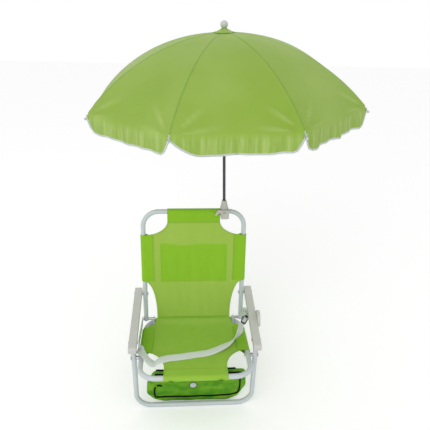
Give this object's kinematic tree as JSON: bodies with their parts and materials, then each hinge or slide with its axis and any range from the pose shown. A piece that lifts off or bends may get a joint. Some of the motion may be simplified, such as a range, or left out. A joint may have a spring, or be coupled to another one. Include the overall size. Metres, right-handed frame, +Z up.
{
  "type": "folding beach chair with umbrella",
  "caption": "Low folding tube-frame beach chair with a fabric seat, lap belt, plastic armrests, hanging zip pouch and a clamp-on scalloped umbrella.",
  "frame": {"origin": "on the floor, under the middle of the front floor bar", "axes": "+X to the right as seen from the front, +Y to the back of the chair, +Z up"},
  "size_m": [0.6235, 0.6239, 0.975],
  "materials": {
    "white_enamel": "glossy",
    "zinc_steel": "satin",
    "green_sling": "woven mesh",
    "green_canopy": "thin coated cloth",
    "green_pouch": "coated cloth",
    "white_webbing": "webbing",
    "grey_arm_plastic": "satin",
    "grey_clamp_plastic": "satin",
    "black_plastic": "gloss",
    "dark_steel": "satin",
    "white_nylon": "satin"
  },
  "bodies": {
    "seat": {"seat_frame": "white_enamel", "pivot_bracket_left": "white_enamel", "pivot_bracket_right": "white_enamel", "back_bolt_left": "zinc_steel", "back_bolt_right": "zinc_steel", "leg_bolt_left": "zinc_steel", "leg_bolt_right": "zinc_steel", "rear_leg_rod": "zinc_steel", "seat_sling": "green_sling", "belt_strap_long": "white_webbing", "belt_strap_short": "white_webbing", "storage_pouch": "green_pouch", "pouch_snap": "white_nylon", "pouch_loop_left": "green_pouch", "pouch_loop_right": "green_pouch"},
    "buckle": {"belt_buckle": "black_plastic"},
    "back": {"back_frame": "white_enamel", "back_sling": "green_sling", "back_pocket": "green_sling", "arm_bolt_left": "zinc_steel", "arm_bolt_right": "zinc_steel", "clamp_body": "grey_clamp_plastic"},
    "arm_left": {"armrest_left": "grey_arm_plastic", "arm_pin_left": "zinc_steel", "armrest_disc": "grey_arm_plastic", "armrest_disc_screw": "black_plastic"},
    "arm_right": {"armrest_right": "grey_arm_plastic", "arm_pin_right": "zinc_steel"},
    "front_leg": {"front_leg": "white_enamel"},
    "rear_leg": {"rear_leg": "white_enamel"},
    "lever": {"clamp_lever": "grey_clamp_plastic"},
    "pole": {"pole": "dark_steel", "crown": "white_nylon", "finial": "white_nylon"},
    "runner": {"runner": "white_nylon"},
    "rib_1": {"rib_1": "white_nylon", "gore_1": "green_canopy"},
    "rib_2": {"rib_2": "white_nylon", "gore_2": "green_canopy"},
    "rib_3": {"rib_3": "white_nylon", "gore_3": "green_canopy"},
    "rib_4": {"rib_4": "white_nylon", "gore_4": "green_canopy"},
    "rib_5": {"rib_5": "white_nylon", "gore_5": "green_canopy"},
    "rib_6": {"rib_6": "white_nylon", "gore_6": "green_canopy"},
    "rib_7": {"rib_7": "white_nylon", "gore_7": "green_canopy"},
    "rib_8": {"rib_8": "white_nylon", "gore_8": "green_canopy"},
    "stretcher_1": {"stretcher_1": "dark_steel"},
    "stretcher_2": {"stretcher_2": "dark_steel"},
    "stretcher_3": {"stretcher_3": "dark_steel"},
    "stretcher_4": {"stretcher_4": "dark_steel"},
    "stretcher_5": {"stretcher_5": "dark_steel"},
    "stretcher_6": {"stretcher_6": "dark_steel"},
    "stretcher_7": {"stretcher_7": "dark_steel"},
    "stretcher_8": {"stretcher_8": "dark_steel"}
  },
  "joints": [
    {"name": "back_fold", "type": "hinge", "parent": "seat", "child": "back", "pos_m": [0, 0.16729, 0.168], "axis": [1, 0, 0], "range_deg": [0, 80], "deforming": ["belt_strap_long", "belt_strap_short"]},
    {"name": "armrest_left_fold", "type": "hinge", "parent": "back", "child": "arm_left", "pos_m": [0, 0.17899, 0.24916], "axis": [-1, 0, 0], "range_deg": [0, 100]},
    {"name": "armrest_right_fold", "type": "hinge", "parent": "back", "child": "arm_right", "pos_m": [0, 0.17899, 0.24916], "axis": [-1, 0, 0], "range_deg": [0, 100]},
    {"name": "belt_buckle_fold", "type": "hinge", "parent": "seat", "child": "buckle", "pos_m": [0.15253, 0.08465, 0.19751], "axis": [-0.6645, -0.7381, 0.1169], "range_deg": [0, 96]},
    {"name": "front_leg_fold", "type": "hinge", "parent": "seat", "child": "front_leg", "pos_m": [0, 0, 0.17931], "axis": [-1, 0, 0], "range_deg": [0, 80]},
    {"name": "rear_leg_fold", "type": "hinge", "parent": "seat", "child": "rear_leg", "pos_m": [0, 0.18729, 0.13446], "axis": [-1, 0, 0], "range_deg": [0, 105]},
    {"name": "clamp_lever_turn", "type": "hinge", "parent": "back", "child": "lever", "pos_m": [0.0678, 0.21407, 0.49814], "axis": [0, 1, 0], "range_deg": [0, 100]},
    {"name": "pole_slide", "type": "slide", "parent": "back", "child": "pole", "axis": [-0.0349, 0, 0.9994], "range_m": [0, 0.04]},
    {"name": "runner_slide", "type": "slide", "parent": "pole", "child": "runner", "axis": [0.0349, 0, -0.9994], "range_m": [0, 0.23188]},
    {"name": "rib_1_hinge", "type": "hinge", "parent": "pole", "child": "rib_1", "pos_m": [0.0702, 0.20576, 0.94349], "axis": [0.9233, 0.3827, 0.0322], "range_deg": [0, 62], "deforming": ["gore_1"]},
    {"name": "rib_2_hinge", "type": "hinge", "parent": "pole", "child": "rib_2", "pos_m": [0.07507, 0.21063, 0.94366], "axis": [0.3824, 0.9239, 0.0134], "range_deg": [0, 62], "deforming": ["gore_2"]},
    {"name": "rib_3_hinge", "type": "hinge", "parent": "pole", "child": "rib_3", "pos_m": [0.07507, 0.21752, 0.94366], "axis": [-0.3824, 0.9239, -0.0134], "range_deg": [0, 62], "deforming": ["gore_3"]},
    {"name": "rib_4_hinge", "type": "hinge", "parent": "pole", "child": "rib_4", "pos_m": [0.0702, 0.22239, 0.94349], "axis": [-0.9233, 0.3827, -0.0322], "range_deg": [0, 62], "deforming": ["gore_4"]},
    {"name": "rib_5_hinge", "type": "hinge", "parent": "pole", "child": "rib_5", "pos_m": [0.06332, 0.22239, 0.94325], "axis": [-0.9233, -0.3827, -0.0322], "range_deg": [0, 62], "deforming": ["gore_5"]},
    {"name": "rib_6_hinge", "type": "hinge", "parent": "pole", "child": "rib_6", "pos_m": [0.05845, 0.21752, 0.94308], "axis": [-0.3824, -0.9239, -0.0134], "range_deg": [0, 62], "deforming": ["gore_6"]},
    {"name": "rib_7_hinge", "type": "hinge", "parent": "pole", "child": "rib_7", "pos_m": [0.05845, 0.21063, 0.94308], "axis": [0.3824, -0.9239, 0.0134], "range_deg": [0, 62], "deforming": ["gore_7"]},
    {"name": "rib_8_hinge", "type": "hinge", "parent": "pole", "child": "rib_8", "pos_m": [0.06332, 0.20576, 0.94325], "axis": [0.9233, -0.3827, 0.0322], "range_deg": [0, 62], "deforming": ["gore_8"]},
    {"name": "stretcher_1_hinge", "type": "hinge", "parent": "rib_1", "child": "stretcher_1", "pos_m": [0.12895, 0.06656, 0.91332], "axis": [-0.9233, -0.3827, -0.0322], "range_deg": [0, 124]},
    {"name": "stretcher_2_hinge", "type": "hinge", "parent": "rib_2", "child": "stretcher_2", "pos_m": [0.21531, 0.15297, 0.91633], "axis": [-0.3824, -0.9239, -0.0134], "range_deg": [0, 124]},
    {"name": "stretcher_3_hinge", "type": "hinge", "parent": "rib_3", "child": "stretcher_3", "pos_m": [0.21531, 0.27517, 0.91633], "axis": [0.3824, -0.9239, 0.0134], "range_deg": [0, 124]},
    {"name": "stretcher_4_hinge", "type": "hinge", "parent": "rib_4", "child": "stretcher_4", "pos_m": [0.12895, 0.36158, 0.91332], "axis": [0.9233, -0.3827, 0.0322], "range_deg": [0, 124]},
    {"name": "stretcher_5_hinge", "type": "hinge", "parent": "rib_5", "child": "stretcher_5", "pos_m": [0.00682, 0.36158, 0.90905], "axis": [0.9233, 0.3827, 0.0322], "range_deg": [0, 124]},
    {"name": "stretcher_6_hinge", "type": "hinge", "parent": "rib_6", "child": "stretcher_6", "pos_m": [-0.07954, 0.27517, 0.90604], "axis": [0.3825, 0.9239, 0.0134], "range_deg": [0, 124]},
    {"name": "stretcher_7_hinge", "type": "hinge", "parent": "rib_7", "child": "stretcher_7", "pos_m": [-0.07954, 0.15297, 0.90604], "axis": [-0.3824, 0.9239, -0.0134], "range_deg": [0, 124]},
    {"name": "stretcher_8_hinge", "type": "hinge", "parent": "rib_8", "child": "stretcher_8", "pos_m": [0.00682, 0.06656, 0.90905], "axis": [-0.9233, 0.3827, -0.0322], "range_deg": [0, 124]}
  ],
  "couplings": [
    {"joint": "armrest_left_fold", "follows": "back_fold", "ratio": 1.25},
    {"joint": "armrest_right_fold", "follows": "back_fold", "ratio": 1.25},
    {"joint": "front_leg_fold", "follows": "back_fold", "ratio": 1},
    {"joint": "belt_buckle_fold", "follows": "back_fold", "ratio": 1.2},
    {"joint": "rib_1_hinge", "follows": "runner_slide", "rad_per_m": 4.6666},
    {"joint": "rib_2_hinge", "follows": "runner_slide", "rad_per_m": 4.6666},
    {"joint": "rib_3_hinge", "follows": "runner_slide", "rad_per_m": 4.6666},
    {"joint": "rib_4_hinge", "follows": "runner_slide", "rad_per_m": 4.6666},
    {"joint": "rib_5_hinge", "follows": "runner_slide", "rad_per_m": 4.6666},
    {"joint": "rib_6_hinge", "follows": "runner_slide", "rad_per_m": 4.6666},
    {"joint": "rib_7_hinge", "follows": "runner_slide", "rad_per_m": 4.6666},
    {"joint": "rib_8_hinge", "follows": "runner_slide", "rad_per_m": 4.6666},
    {"joint": "stretcher_1_hinge", "follows": "runner_slide", "rad_per_m": 9.3332},
    {"joint": "stretcher_2_hinge", "follows": "runner_slide", "rad_per_m": 9.3332},
    {"joint": "stretcher_3_hinge", "follows": "runner_slide", "rad_per_m": 9.3332},
    {"joint": "stretcher_4_hinge", "follows": "runner_slide", "rad_per_m": 9.3332},
    {"joint": "stretcher_5_hinge", "follows": "runner_slide", "rad_per_m": 9.3332},
    {"joint": "stretcher_6_hinge", "follows": "runner_slide", "rad_per_m": 9.3332},
    {"joint": "stretcher_7_hinge", "follows": "runner_slide", "rad_per_m": 9.3332},
    {"joint": "stretcher_8_hinge", "follows": "runner_slide", "rad_per_m": 9.3332}
  ]
}
